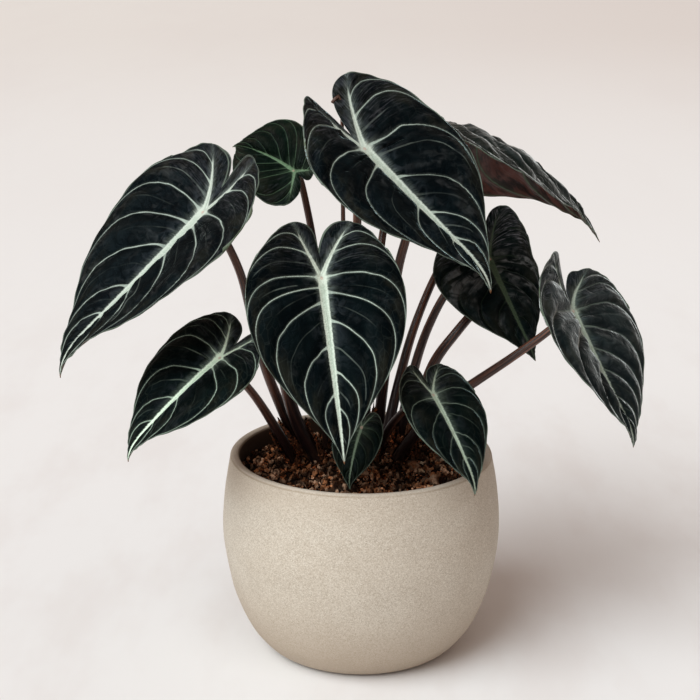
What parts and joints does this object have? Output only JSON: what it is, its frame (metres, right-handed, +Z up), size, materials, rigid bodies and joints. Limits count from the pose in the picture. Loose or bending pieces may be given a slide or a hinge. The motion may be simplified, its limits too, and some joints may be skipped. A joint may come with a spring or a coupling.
{
  "type": "potted alocasia plant",
  "caption": "Dark velvety arrow-leaved houseplant: heart-shaped blades with pale veins on upright stalks, standing in soil in a round stoneware pot.",
  "frame": {"origin": "centre of the pot's flat base, on the floor", "axes": "+Z up along the pot's axis; -Y is the front of the plant, +X to its right as seen from the front"},
  "size_m": [0.3369, 0.2298, 0.35],
  "materials": {
    "stoneware": "matte, fine grain",
    "soil": "loose potting mix with bark",
    "leaf": "velvety leaf with pale veins",
    "stalk": "smooth dark stalk"
  },
  "bodies": {
    "root": {"pot": "stoneware", "soil": "soil", "leaf_left_high": "leaf", "leaf_back_left": "leaf", "leaf_top": "leaf", "leaf_back_right": "leaf", "leaf_front": "leaf", "leaf_left_low": "leaf", "leaf_right_mid": "leaf", "leaf_right_far": "leaf", "leaf_right_low": "leaf", "leaf_small": "leaf", "leaf_rear": "leaf", "leaf_rear_right": "leaf", "leaf_rear_far": "leaf", "stalk_left_high": "stalk", "stalk_back_left": "stalk", "stalk_top": "stalk", "stalk_back_right": "stalk", "stalk_front": "stalk", "stalk_left_low": "stalk", "stalk_right_mid": "stalk", "stalk_right_far": "stalk", "stalk_right_low": "stalk", "stalk_small": "stalk", "stalk_rear": "stalk", "stalk_rear_right": "stalk", "stalk_rear_far": "stalk", "stalk_old": "stalk"}
  },
  "joints": []
}
